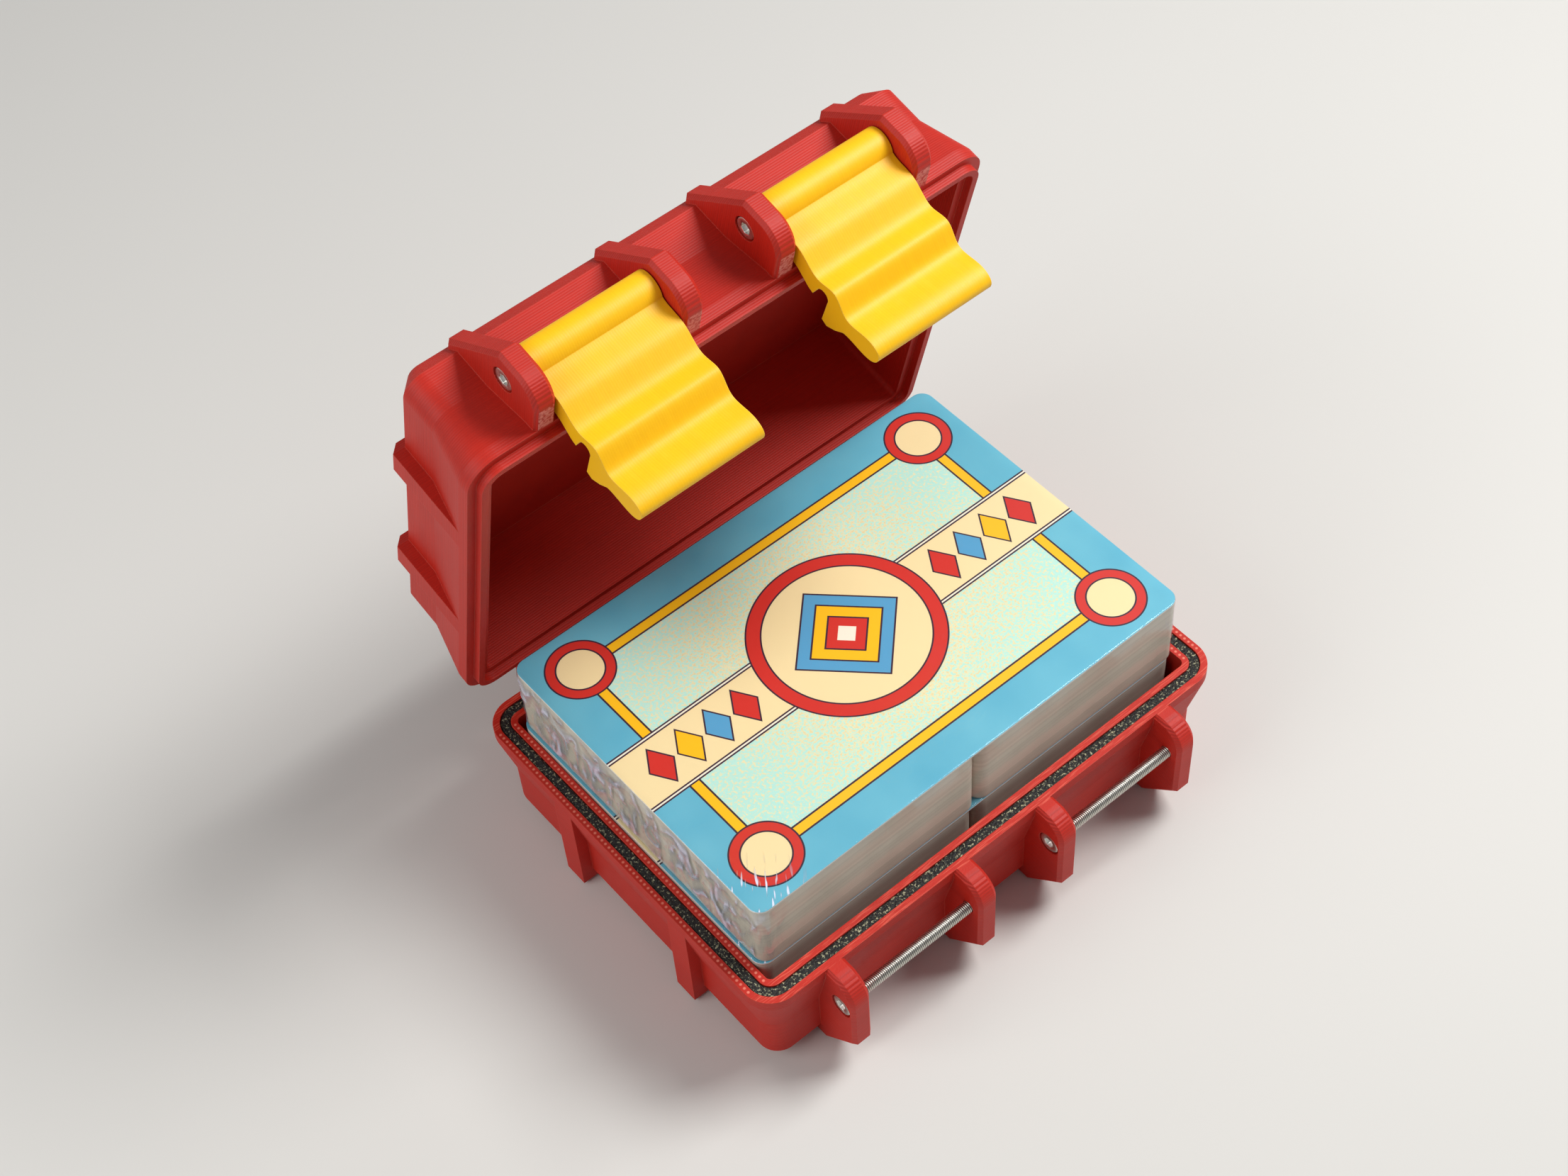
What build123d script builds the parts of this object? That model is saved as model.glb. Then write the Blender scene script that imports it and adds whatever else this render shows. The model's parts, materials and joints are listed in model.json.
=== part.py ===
from build123d import *
from math import atan2, cos, degrees, hypot, radians, sin
import os

os.makedirs("parts", exist_ok=True)

# Card packs: two decks of standard cards side by side under one printed cover sheet, in clear film
card_width = 63.0
card_length = 88.0
card_corner = 3.2
cover_thickness = 0.4
lower_pack_proud = 1.46
upper_stack_height = 20.1
film_gap = 0.05
film_thickness = 0.08
deck_gap = 0.1
lower_pack_shift = -0.4
upper_pack_shift = 0.3
packs_back = 0.4

# Rim: an outer lip, a gasket groove and an inner lip round the cavity that holds the packs
side_clearance = 0.6
end_clearance = 2.6
lip_width = 1.7
groove_width = 2.6
groove_depth = 3.0
rim_corner = 7.5
lip_height = 3.0
taper_height = 13.0
wall_inset = 3.1
wall_corner = 5.2
foot_corner = 2.6

# Tub and lid heights
base_height = 32.4
base_floor = 3.0
base_foot_chamfer = 4.3
lid_height = 30.0
lid_top = 3.0
lid_top_chamfer = 4.0
parting_gap = 0.2

# Gasket in the groove, and the tongue of the lid that presses on it
gasket_side_gap = 0.05
gasket_top_gap = 0.15
tongue_width = 1.7
tongue_height = 2.0

# Ribs on the two ends
rib_width = 6.4
rib_spacing = 42.0
rib_chamfer = 1.0

# Lug pairs, for the latches in front and for the hinges behind
pair_spacing = 62.6
lug_width = 5.4
lug_gap = 32.4
lug_edge = 0.9
lug_root = 0.6
catch_ear = 4.1
base_lug_rounding = 6.5
base_lug_slope_height = 9.9
pivot_ear = 7.2
lid_lug_rounding = 7.0
lid_lug_slope_start = 13.0

# Screws: M3 by 40 with socket heads sunk into the left lug of each pair
screw_radius = 1.5
screw_length = 40.0
head_radius = 2.75
head_height = 3.0
hex_across_flats = 2.5
hex_depth = 1.6
point_chamfer = 0.4
counterbore_radius = 3.05
counterbore_depth = 3.2
bore_fit = 0.05
running_fit = 0.06

# Where the screws run, out from the face of the rim: catch screw below it, pivot screw above it, hinge behind
catch_out = 4.7
catch_drop = 9.4
pivot_out = 5.7
pivot_rise = 11.0
hinge_out = 5.45
knuckle_radius = 4.0
knuckle_side_gap = 0.2

# Pose in which the box stands: lid open, latches swung in against the lip of the lid
lid_open_angle = 75.3
latch_swing = 13.8

# Latches
latch_side_gap = 0.3
latch_nose = 4.4
jaw_clearance = 0.3

# Sizes that follow from those above
cavity_x = 2 * card_width + 2 * side_clearance
cavity_y = card_length + 2 * end_clearance
rim_width = 2 * lip_width + groove_width
rim_x = cavity_x + 2 * rim_width
rim_y = cavity_y + 2 * rim_width
pair_width = 2 * lug_width + lug_gap
wall_core_y = cavity_y / 2 - lug_root
catch_y = -rim_y / 2 - catch_out
pivot_y = -rim_y / 2 - pivot_out
hinge_y = rim_y / 2 + hinge_out
base_lug_reach = catch_ear - catch_y
lid_lug_reach = pivot_ear - pivot_y
hinge_z = base_height + parting_gap
open_angle = radians(lid_open_angle)

# Directions and planes of the open lid: across the lid from rear to front is minus lid_across
lid_across = (0, cos(open_angle), -sin(open_angle))
lid_up = (0, sin(open_angle), cos(open_angle))
lid_origin = (0, hinge_y - hinge_y * lid_across[1], hinge_z - hinge_y * lid_across[2])
lid_plane = Plane(origin=lid_origin, x_dir=(1, 0, 0), z_dir=lid_up)
base_rim = Plane.XY.offset(base_height)


def lid_side(x):
    """Plane across the lid at x, whose axes are the depth and the height of the closed lid."""
    return Plane(origin=lid_plane.from_local_coords((x, 0, 0)), x_dir=lid_across, z_dir=(1, 0, 0))


def base_side(x):
    """Plane across the tub at x, whose axes are depth and height above the rim."""
    return Plane(origin=(x, 0, base_height), x_dir=(0, 1, 0), z_dir=(1, 0, 0))


def outline(plane, inset, corner):
    """Rounded rectangle that lies inside the outline of the rim."""
    with BuildSketch(plane) as section:
        RectangleRounded(rim_x - 2 * inset, rim_y - 2 * inset, corner)
    return section.sketch


def ring(plane, outer_inset, inner_inset):
    """Band that follows the rim between two insets."""
    with BuildSketch(plane) as band:
        RectangleRounded(rim_x - 2 * outer_inset, rim_y - 2 * outer_inset, rim_corner - outer_inset)
        RectangleRounded(
            rim_x - 2 * inner_inset, rim_y - 2 * inner_inset, rim_corner - inner_inset, mode=Mode.SUBTRACT
        )
    return band.sketch


def add_half_box(rim_plane, away, height, end_chamfer):
    """Outside of the tub or the lid: lip, long taper, upright wall and chamfered end."""
    taper_end = lip_height + taper_height
    steps = [
        (0, 0, rim_corner),
        (lip_height, 0, rim_corner),
        (taper_end, wall_inset, wall_corner),
        (height - end_chamfer, wall_inset, wall_corner),
        (height, wall_inset + end_chamfer, foot_corner),
    ]
    for near, far in zip(steps, steps[1:]):
        loft([outline(rim_plane.offset(away * step[0]), step[1], step[2]) for step in (near, far)], ruled=True)


def lug_solid(side_plane, corners, rounded_corner, rounding, width):
    """Lug of a side profile with one rounded corner and softened side edges."""
    with BuildPart() as lug:
        with BuildSketch(side_plane) as profile:
            with BuildLine():
                Polyline(*corners, close=True)
            make_face()
            fillet(profile.vertices().sort_by_distance(Vector(*rounded_corner))[0], rounding)
        extrude(amount=width / 2, both=True)
        chamfer(lug.faces().filter_by(Axis.X).edges(), lug_edge)
    return lug.part


def knuckle_solid(side_plane, corners, centre, width):
    """Hinge lug of a side profile with a round knuckle about the hinge axis."""
    with BuildPart() as lug:
        with BuildSketch(side_plane):
            with BuildLine():
                Polyline(*corners, close=True)
            make_face()
            with Locations(centre):
                Circle(knuckle_radius)
        extrude(amount=width / 2, both=True)
    return lug.part


def bore(side_plane, place, radius, depth):
    """Cut a round hole from the side plane along the axis of a screw."""
    with BuildSketch(side_plane) as hole:
        with Locations(place):
            Circle(radius)
    extrude(hole.sketch, amount=depth, mode=Mode.SUBTRACT)


# Places of the lugs and screws along the box
pair_centres = {"left": -pair_spacing / 2, "right": pair_spacing / 2}
lug_offset = (lug_gap + lug_width) / 2
lug_places = [centre + side * lug_offset for centre in pair_centres.values() for side in (-1, 1)]
inner_lug_offset = lug_gap / 2 - knuckle_side_gap - lug_width / 2
inner_lug_places = [centre + side * inner_lug_offset for centre in pair_centres.values() for side in (-1, 1)]
rib_places = [(end, side * rib_spacing / 2) for end in (-1, 1) for side in (-1, 1)]
rib_depth = rim_width + wall_inset


# Base tub
base_slope_end = base_height - base_lug_slope_height
base_lug_foot = base_lug_reach - base_lug_slope_height
front_lug_corners = [
    (-wall_core_y, 0),
    (-base_lug_reach, 0),
    (-base_lug_reach, -base_slope_end),
    (-base_lug_foot, -base_height),
    (-wall_core_y + base_floor, -base_height),
    (-wall_core_y + base_floor, -base_height + base_floor / 2),
    (-wall_core_y, -base_height + 2 * base_floor),
]
hinge_reach = hinge_y + knuckle_radius
rear_lug_corners = [
    (wall_core_y, 0),
    (hinge_y, 0),
    (hinge_y, parting_gap),
    (hinge_reach, parting_gap),
    (hinge_reach, -base_slope_end),
    (hinge_reach - base_lug_slope_height, -base_height),
    (wall_core_y - base_floor, -base_height),
    (wall_core_y - base_floor, -base_height + base_floor / 2),
    (wall_core_y, -base_height + 2 * base_floor),
]
front_lugs = [
    lug_solid(base_side(x), front_lug_corners, (-base_lug_reach, 0), base_lug_rounding, lug_width)
    for x in lug_places
]
rear_lugs = [
    knuckle_solid(base_side(x), rear_lug_corners, (hinge_y, parting_gap), lug_width) for x in lug_places
]

with BuildPart() as base_tub:
    add_half_box(base_rim, -1, base_height, base_foot_chamfer)
    for end, y in rib_places:
        x = end * (rim_x - rib_depth) / 2
        with BuildSketch(base_rim.offset(-lip_height)):
            with Locations((x, y)):
                Rectangle(rib_depth, rib_width)
        extrude(amount=lip_height - base_height + rib_chamfer)
        foot_centre = (end * (rim_x - rib_depth - rib_chamfer) / 2, y)
        with BuildSketch(Plane.XY.offset(rib_chamfer)):
            with Locations((x, y)):
                Rectangle(rib_depth, rib_width)
        with BuildSketch(Plane.XY):
            with Locations(foot_centre):
                Rectangle(rib_depth - rib_chamfer, rib_width - 2 * rib_chamfer)
        loft(ruled=True)
    add(front_lugs + rear_lugs)
    with BuildSketch(Plane.XY.offset(base_floor)):
        RectangleRounded(cavity_x, cavity_y, rim_corner - rim_width)
    extrude(amount=base_height, mode=Mode.SUBTRACT)
    extrude(
        ring(base_rim, lip_width, lip_width + groove_width), amount=-groove_depth, mode=Mode.SUBTRACT
    )
    for centre in pair_centres.values():
        left_face = centre - pair_width / 2
        for place in ((catch_y, -catch_drop), (hinge_y, parting_gap)):
            bore(base_side(left_face), place, screw_radius + bore_fit, pair_width)
            bore(base_side(left_face), place, counterbore_radius, counterbore_depth)

base_tub.part.label = "base_tub"
export_step(base_tub.part, "parts/base_tub.step")


# Gasket
with BuildPart() as gasket:
    extrude(
        ring(
            base_rim.offset(-groove_depth),
            lip_width + gasket_side_gap,
            lip_width + groove_width - gasket_side_gap,
        ),
        amount=groove_depth - gasket_top_gap,
    )

gasket.part.label = "gasket"
export_step(gasket.part, "parts/gasket.step")


# Lid shell, built on the planes of the open lid
lid_slope_rise = lid_height - lid_lug_slope_start
lid_front_corners = [
    (-wall_core_y, 0),
    (-lid_lug_reach, 0),
    (-lid_lug_reach, lid_lug_slope_start),
    (-lid_lug_reach + lid_slope_rise, lid_height),
    (-wall_core_y + lid_top, lid_height),
    (-wall_core_y + lid_top, lid_height - lid_top / 2),
    (-wall_core_y, lid_height - 2 * lid_top),
]
rear_slope_start = lid_lug_slope_start + lid_lug_reach - hinge_reach
lid_rear_corners = [
    (wall_core_y, 0),
    (hinge_reach, 0),
    (hinge_reach, rear_slope_start),
    (hinge_reach - lid_height + rear_slope_start, lid_height),
    (wall_core_y - lid_top, lid_height),
    (wall_core_y - lid_top, lid_height - lid_top / 2),
    (wall_core_y, lid_height - 2 * lid_top),
]
lid_front_lugs = [
    lug_solid(lid_side(x), lid_front_corners, (-lid_lug_reach, 0), lid_lug_rounding, lug_width)
    for x in lug_places
]
lid_rear_lugs = [
    knuckle_solid(lid_side(x), lid_rear_corners, (hinge_y, 0), lug_width) for x in inner_lug_places
]
tongue_inset = lip_width + (groove_width - tongue_width) / 2

with BuildPart() as lid_shell:
    add_half_box(lid_plane, 1, lid_height, lid_top_chamfer)
    for end, y in rib_places:
        rib_steps = [
            (lip_height, 0),
            (lid_height - lid_top_chamfer, 0),
            (lid_height - lid_top / 2, lid_top_chamfer - lid_top / 2),
        ]
        for near, far in zip(rib_steps, rib_steps[1:]):
            for height, cut in (near, far):
                with BuildSketch(lid_plane.offset(height)):
                    with Locations((end * (rim_x - rib_depth - cut) / 2, y)):
                        Rectangle(rib_depth - cut, rib_width - cut)
            loft(ruled=True)
    add(lid_front_lugs + lid_rear_lugs)
    with BuildSketch(lid_plane):
        RectangleRounded(cavity_x, cavity_y, rim_corner - rim_width)
    extrude(amount=lid_height - lid_top, mode=Mode.SUBTRACT)
    extrude(ring(lid_plane, tongue_inset, tongue_inset + tongue_width), amount=-tongue_height)
    for centre in pair_centres.values():
        left_face = centre - pair_width / 2
        bore(lid_side(left_face), (pivot_y, pivot_rise), screw_radius + running_fit, pair_width)
        bore(lid_side(left_face), (pivot_y, pivot_rise), counterbore_radius, counterbore_depth)
        bore(lid_side(left_face), (hinge_y, 0), screw_radius + running_fit, pair_width)

lid_shell.part.label = "lid_shell"
export_step(lid_shell.part, "parts/lid_shell.step")


# Socket-head screws: each runs from the counterbore of its left lug to the far face of the right lug
screw_lines = {
    "catch_screw": (base_side, (catch_y, -catch_drop)),
    "hinge_screw": (base_side, (hinge_y, parting_gap)),
    "latch_pivot": (lid_side, (pivot_y, pivot_rise)),
}
for kind, (side_plane, place) in screw_lines.items():
    for side, centre in pair_centres.items():
        shoulder = side_plane(centre - pair_width / 2 + counterbore_depth)
        head_top = shoulder.offset(-head_height)
        with BuildPart() as screw:
            with BuildSketch(shoulder):
                with Locations(place):
                    Circle(screw_radius)
            extrude(amount=screw_length)
            chamfer(screw.edges().sort_by(Axis.X)[-1], point_chamfer)
            with BuildSketch(head_top):
                with Locations(place):
                    Circle(head_radius)
            extrude(amount=head_height)
            chamfer(screw.edges().sort_by(Axis.X)[0], point_chamfer)
            with BuildSketch(head_top):
                with Locations(place):
                    RegularPolygon(hex_across_flats / 2, 6, major_radius=False)
            extrude(amount=hex_depth, mode=Mode.SUBTRACT)
        screw.part.label = f"{kind}_{side}"
        export_step(screw.part, f"parts/{kind}_{side}.step")


# Latches: nose round the pivot screw, waist, jaw over the catch screw with its barb, and finger tail
reach_across = catch_y - pivot_y
reach_down = pivot_rise + catch_drop + parting_gap
jaw_distance = hypot(reach_across, reach_down)
latch_angle = atan2(reach_across, reach_down) + radians(latch_swing)
latch_down = (Vector(*lid_across) * sin(latch_angle) - Vector(*lid_up) * cos(latch_angle)).normalized()
jaw_radius = screw_radius + jaw_clearance
outer_wave = [(4.4, 2.75), (10.4, 3.9), (17.7, 2.9), (22.2, 5.1), (27.3, 2.9), (35.0, 5.9), (38.0, 5.3)]
tail_tip = (38.7, 3.6)
inner_wave = [(38.2, 1.8), (33.9, -0.5), (29.2, -2.1), (27.6, -4.6), (25.6, -6.6)]
barb_tip = (23.5, -6.45)
upper_inner = [(18.6, -2.85), (17.0, -2.8), (12.6, -1.65), (4.0, -1.65), (0.0, -latch_nose)]
jaw_mouth = [(-0.25, -3.2), (3.6, -7.2), (5.1, -7.0)]

for side, centre in pair_centres.items():
    pivot = lid_side(centre).from_local_coords((pivot_y, pivot_rise, 0))
    latch_plane = Plane(origin=pivot, x_dir=latch_down, z_dir=(-1, 0, 0))
    with BuildPart() as latch:
        with BuildSketch(latch_plane):
            with BuildLine():
                Spline((0, latch_nose), *outer_wave, tail_tip)
                Spline(tail_tip, *inner_wave[:3])
                Polyline(*inner_wave[2:], barb_tip, *upper_inner, (0, latch_nose))
            make_face()
            Circle(latch_nose)
            with Locations((jaw_distance, 0)):
                Circle(jaw_radius, mode=Mode.SUBTRACT)
            with BuildLine():
                Polyline(
                    (jaw_distance - jaw_radius, 0),
                    *[(jaw_distance - jaw_radius + along, across) for along, across in jaw_mouth],
                    (jaw_distance + jaw_radius, 0),
                    close=True,
                )
            make_face(mode=Mode.SUBTRACT)
            Circle(screw_radius + running_fit, mode=Mode.SUBTRACT)
        extrude(amount=lug_gap / 2 - latch_side_gap, both=True)
    latch.part.label = f"latch_{side}"
    export_step(latch.part, f"parts/latch_{side}.step")


# Card packs: decks, cover sheet and film, the upper pack on the lower one
film_allowance = film_gap + film_thickness
lower_pack_top = base_height + lower_pack_proud
lower_stack_height = lower_pack_top - base_floor - cover_thickness - 2 * film_allowance
packs = [
    ("lower", base_floor, lower_stack_height, lower_pack_shift),
    ("upper", lower_pack_top, upper_stack_height, upper_pack_shift),
]
for pack, pack_foot, stack_height, shift in packs:
    stack_foot = pack_foot + film_allowance
    for side, direction in (("left", -1), ("right", 1)):
        with BuildPart() as deck:
            with BuildSketch(Plane.XY.offset(stack_foot)):
                with Locations((shift + direction * card_width / 2, packs_back)):
                    RectangleRounded(card_width - deck_gap, card_length, card_corner)
            extrude(amount=stack_height)
        deck.part.label = f"{pack}_deck_{side}"
        export_step(deck.part, f"parts/{pack}_deck_{side}.step")

    with BuildPart() as cover_card:
        with BuildSketch(Plane.XY.offset(stack_foot + stack_height)):
            with Locations((shift, packs_back)):
                RectangleRounded(2 * card_width, card_length, card_corner)
        extrude(amount=cover_thickness)
    cover_card.part.label = f"{pack}_cover_card"
    export_step(cover_card.part, f"parts/{pack}_cover_card.step")

    with BuildPart() as film_wrap:
        for grow, mode in ((film_allowance, Mode.ADD), (film_gap, Mode.SUBTRACT)):
            with BuildSketch(Plane.XY.offset(stack_foot - grow)):
                with Locations((shift, packs_back)):
                    RectangleRounded(2 * card_width + 2 * grow, card_length + 2 * grow, card_corner + grow)
            extrude(amount=stack_height + cover_thickness + 2 * grow, mode=mode)
    film_wrap.part.label = f"{pack}_film_wrap"
    export_step(film_wrap.part, f"parts/{pack}_film_wrap.step")
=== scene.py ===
# %% [markdown]
# # A printed card case with two packs of cards
#
# This lesson dresses a small hard case for card games. The tub, the lid and the latches are 3-D prints, the
# packs inside are shrink-wrapped, and screws with real threads join the moving parts. The shapes of the hard
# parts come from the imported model; the soft, thin and threaded pieces are modelled here.

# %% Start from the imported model
import json
import math

import bpy
from mathutils import Matrix, Vector, noise


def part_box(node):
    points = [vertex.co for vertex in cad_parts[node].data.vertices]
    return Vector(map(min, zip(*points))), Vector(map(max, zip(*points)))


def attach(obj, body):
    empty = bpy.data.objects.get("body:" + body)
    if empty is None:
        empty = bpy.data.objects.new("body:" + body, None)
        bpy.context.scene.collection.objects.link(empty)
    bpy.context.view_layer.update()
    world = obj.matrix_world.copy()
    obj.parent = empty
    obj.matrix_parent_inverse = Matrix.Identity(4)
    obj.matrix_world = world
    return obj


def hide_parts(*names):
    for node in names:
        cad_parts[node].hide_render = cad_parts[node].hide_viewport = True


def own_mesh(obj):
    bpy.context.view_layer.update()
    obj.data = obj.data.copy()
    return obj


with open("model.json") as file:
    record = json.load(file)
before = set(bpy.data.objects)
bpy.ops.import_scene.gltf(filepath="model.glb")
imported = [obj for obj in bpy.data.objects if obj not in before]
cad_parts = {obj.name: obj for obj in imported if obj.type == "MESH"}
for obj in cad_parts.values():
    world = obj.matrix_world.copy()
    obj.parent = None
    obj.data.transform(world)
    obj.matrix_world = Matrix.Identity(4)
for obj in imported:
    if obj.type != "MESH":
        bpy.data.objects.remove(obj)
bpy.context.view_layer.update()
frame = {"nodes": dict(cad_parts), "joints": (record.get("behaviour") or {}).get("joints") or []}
MM = 0.001
print("nodes:", ", ".join(sorted(frame["nodes"])))

# %% [markdown]
# ## Small helpers
#
# Colours are picked as sRGB hex values, the way a paint program shows them, and turned to the linear values
# that the shader works with. One function adds a shader node, sets its settings and makes its links. Its inputs
# come by name, or in order when the node's sockets have no telling names, as with arithmetic.

# %% Colour and node helpers
def to_linear(hex_colour):
    """Linear RGBA of an sRGB hex colour such as C8281C."""
    channels = [int(hex_colour[i:i + 2], 16) / 255 for i in (0, 2, 4)]
    linear = [c / 12.92 if c <= 0.04045 else ((c + 0.055) / 1.055) ** 2.4 for c in channels]
    return (*linear, 1.0)


def add(tree, kind, inputs=None, **settings):
    """Add a node, set its settings, and link or set its inputs."""
    node = tree.nodes.new(kind)
    for name, value in settings.items():
        setattr(node, name, value)
    if isinstance(inputs, tuple):
        inputs = dict(enumerate(inputs))
    for socket, value in (inputs or {}).items():
        if isinstance(value, bpy.types.NodeSocket):
            tree.links.new(value, node.inputs[socket])
        else:
            node.inputs[socket].default_value = value
    return node


def per_metre(size_mm):
    """Texture scale at which one cell of a pattern is this many millimetres."""
    return 1.0 / (size_mm * MM)


print("red as linear:", [round(c, 3) for c in to_linear("C8281C")])

# %% Material helpers
def new_material(name):
    """Empty material with its output node, ready for a surface."""
    material = bpy.data.materials.new(name)
    material.use_nodes = True
    material.node_tree.nodes.clear()
    output = add(material.node_tree, "ShaderNodeOutputMaterial")
    return material, material.node_tree, output


def dress(node_name, material):
    """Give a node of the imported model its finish."""
    mesh = frame["nodes"][node_name].data
    mesh.materials.clear()
    mesh.materials.append(material)


print("one cell of 0.5 mm per metre:", per_metre(0.5))

# %% [markdown]
# ## Directions of the open lid
#
# The lid stands open on its hinge, so its layers, its rim and its lugs follow tilted directions. They are read
# from the hinge joint: turning the closed lid's up direction back by the closing angle gives the open one. The
# rim of the tub lies a fifth of a millimetre under the hinge's axis.

# %% Lid directions
PARTING_GAP = 0.2 * MM

joints = {joint["name"]: joint for joint in frame["joints"]}
hinge = Vector(joints["lid_hinge"]["pos_m"])
closing_angle = math.radians(max(joints["lid_hinge"]["range_deg"]))
lid_turn = Matrix.Rotation(-closing_angle, 3, "X")
lid_up = lid_turn @ Vector((0, 0, 1))
lid_across = lid_turn @ Vector((0, 1, 0))
rim_height = hinge.z - PARTING_GAP
print("lid up:", [round(c, 3) for c in lid_up], "rim height mm:", round(rim_height / MM, 2))

# %% [markdown]
# ## Printed plastic
#
# The case is PLA, laid down in thin threads by a desktop printer. To the eye that is a satin surface with fine
# level lines, which spread into contour lines where a curved top lies nearly level. A zigzag of the height
# above the print bed, fed to a bump, gives just that, because the lines follow the height and not the surface.
# The real layers are about 0.2 mm. They are drawn at 0.3 mm so that they still show at the size of the render.
# Each layer gets its own tone, from white noise driven by its number.

# %% Layers of the print
LAYER = 0.3 * MM
WOBBLE = 0.8


def layer_ridge(tree, place, height):
    """Zigzag over the height, a little uneven as a real print is, and a random tone for each layer."""
    layer = add(tree, "ShaderNodeMath", (height, 1 / LAYER), operation="MULTIPLY").outputs[0]
    wobble = add(tree, "ShaderNodeTexNoise", {"Vector": place, "Scale": per_metre(18), "Detail": 2.0}).outputs[0]
    uneven = add(tree, "ShaderNodeMath", (wobble, WOBBLE, layer), operation="MULTIPLY_ADD").outputs[0]
    ridge = add(tree, "ShaderNodeMath", (uneven, 1.0), operation="PINGPONG").outputs[0]
    index = add(tree, "ShaderNodeMath", (layer,), operation="FLOOR").outputs[0]
    streak = add(tree, "ShaderNodeTexWhiteNoise", {"W": index}, noise_dimensions="1D").outputs[0]
    return ridge, streak


print("layers over the tub:", round(rim_height / LAYER))

# %% [markdown]
# No printed edge is knife-sharp. A bevel shader rounds the shading over a quarter of a millimetre, and where its
# normal leaves the true one lies an edge, which gets a painted highlight in a paler colour. The grooves between
# the layers are drawn deeper the nearer the surface lies to level, because there the steps are widest, and a
# painted shade darkens them more there.

# %% Printed plastic material
EDGE_ROUND = 0.25 * MM
EDGE_HIGHLIGHT = 0.55
PLA_IOR = 1.46
STEEP = 0.35
NEARLY_LEVEL = 0.9


def printed_plastic(name, colour, shade, edge_colour, up, start, roughness, layer_depth):
    """PLA whose layers are stacked along up from a point on the print bed."""
    material, tree, output = new_material(name)
    place = add(tree, "ShaderNodeTexCoord").outputs["Object"]
    offset = add(tree, "ShaderNodeVectorMath", (place, tuple(start)), operation="SUBTRACT").outputs[0]
    height = add(tree, "ShaderNodeVectorMath", (offset, tuple(up)), operation="DOT_PRODUCT").outputs[1]
    ridge, streak = layer_ridge(tree, place, height)

    grain = add(tree, "ShaderNodeTexNoise", {"Vector": place, "Scale": per_metre(0.35), "Detail": 3.0}).outputs[0]
    cloud = add(tree, "ShaderNodeTexNoise", {"Vector": place, "Scale": per_metre(9), "Detail": 3.0}).outputs[0]
    tone = add(tree, "ShaderNodeMath", (streak, 0.18), operation="MULTIPLY").outputs[0]
    tone = add(tree, "ShaderNodeMath", (cloud, 0.35, tone), operation="MULTIPLY_ADD").outputs[0]
    tone = add(tree, "ShaderNodeMath", (grain, 0.35, tone), operation="MULTIPLY_ADD", use_clamp=True).outputs[0]
    colours = add(tree, "ShaderNodeMix", {"Factor": tone, "A": to_linear(shade), "B": to_linear(colour)},
                  data_type="RGBA").outputs["Result"]

    true_normal = add(tree, "ShaderNodeNewGeometry").outputs["Normal"]
    own_normal = add(tree, "ShaderNodeVectorTransform", (true_normal,), vector_type="NORMAL",
                     convert_from="WORLD", convert_to="OBJECT").outputs[0]
    lean = add(tree, "ShaderNodeVectorMath", (own_normal, tuple(up)), operation="DOT_PRODUCT").outputs[1]
    level = add(tree, "ShaderNodeMath", (lean,), operation="ABSOLUTE").outputs[0]
    depth = add(tree, "ShaderNodeMapRange", {
        "Value": level, "From Min": STEEP, "From Max": NEARLY_LEVEL,
        "To Min": layer_depth, "To Max": 4 * layer_depth}).outputs[0]
    # Painted shade: the layer grooves are mixed towards the shade colour, more where the surface lies level.
    groove_shade_strength = add(tree, "ShaderNodeMapRange", {
        "Value": level, "From Min": STEEP, "From Max": NEARLY_LEVEL, "To Min": 0.3, "To Max": 0.8}).outputs[0]
    groove = add(tree, "ShaderNodeMapRange", {"Value": ridge, "From Min": 0.35, "From Max": 0.0}).outputs[0]
    layer_groove_shade = add(tree, "ShaderNodeMath", (groove, groove_shade_strength), operation="MULTIPLY").outputs[0]
    colours = add(tree, "ShaderNodeMix", {"Factor": layer_groove_shade, "A": colours, "B": to_linear(shade)},
                  data_type="RGBA").outputs["Result"]

    # Painted highlight: where the bevel normal leaves the true one, the colour turns paler, towards the edge
    # colour.
    rounded = add(tree, "ShaderNodeBevel", {"Radius": EDGE_ROUND}, samples=6).outputs[0]
    bend = add(tree, "ShaderNodeVectorMath", (rounded, true_normal), operation="DOT_PRODUCT").outputs[1]
    edge_highlight = add(tree, "ShaderNodeMapRange", {
        "Value": bend, "From Min": 0.985, "From Max": 0.8, "To Min": 0.0, "To Max": EDGE_HIGHLIGHT}).outputs[0]
    colours = add(tree, "ShaderNodeMix", {"Factor": edge_highlight, "A": colours, "B": to_linear(edge_colour)},
                  data_type="RGBA").outputs["Result"]

    relief = add(tree, "ShaderNodeMath", (grain, 0.35, ridge), operation="MULTIPLY_ADD").outputs[0]
    bump = add(tree, "ShaderNodeBump", {
        "Strength": 1.0, "Distance": depth, "Height": relief, "Normal": rounded}).outputs[0]
    rough = add(tree, "ShaderNodeMath", (grain, 0.16, roughness - 0.08), operation="MULTIPLY_ADD").outputs[0]
    surface = add(tree, "ShaderNodeBsdfPrincipled", {
        "Base Color": colours, "Roughness": rough, "IOR": PLA_IOR, "Normal": bump})
    tree.links.new(surface.outputs[0], output.inputs["Surface"])
    return material, surface, place, height


print("edges look rounded over mm:", round(EDGE_ROUND / MM, 2))

# %% [markdown]
# The tub was printed upright and the lid on its top, so their layers lie level when the case is shut. The latches
# were printed on their sides, so their layers run across the case, and their smooth filament shows hardly any.

# %% Red tub and lid, yellow latches
# Each print: its colour, a darker shade for random tone and for painted groove shade, and the colour of the
# painted edge highlight.
RED_PRINT = ("D2260F", "A61606", "E2553C")
YELLOW_PRINT = ("FFC903", "F2B400", "FFE27A")
RED_LAYER_DEPTH = 0.03 * MM
YELLOW_LAYER_DEPTH = 0.008 * MM

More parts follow.
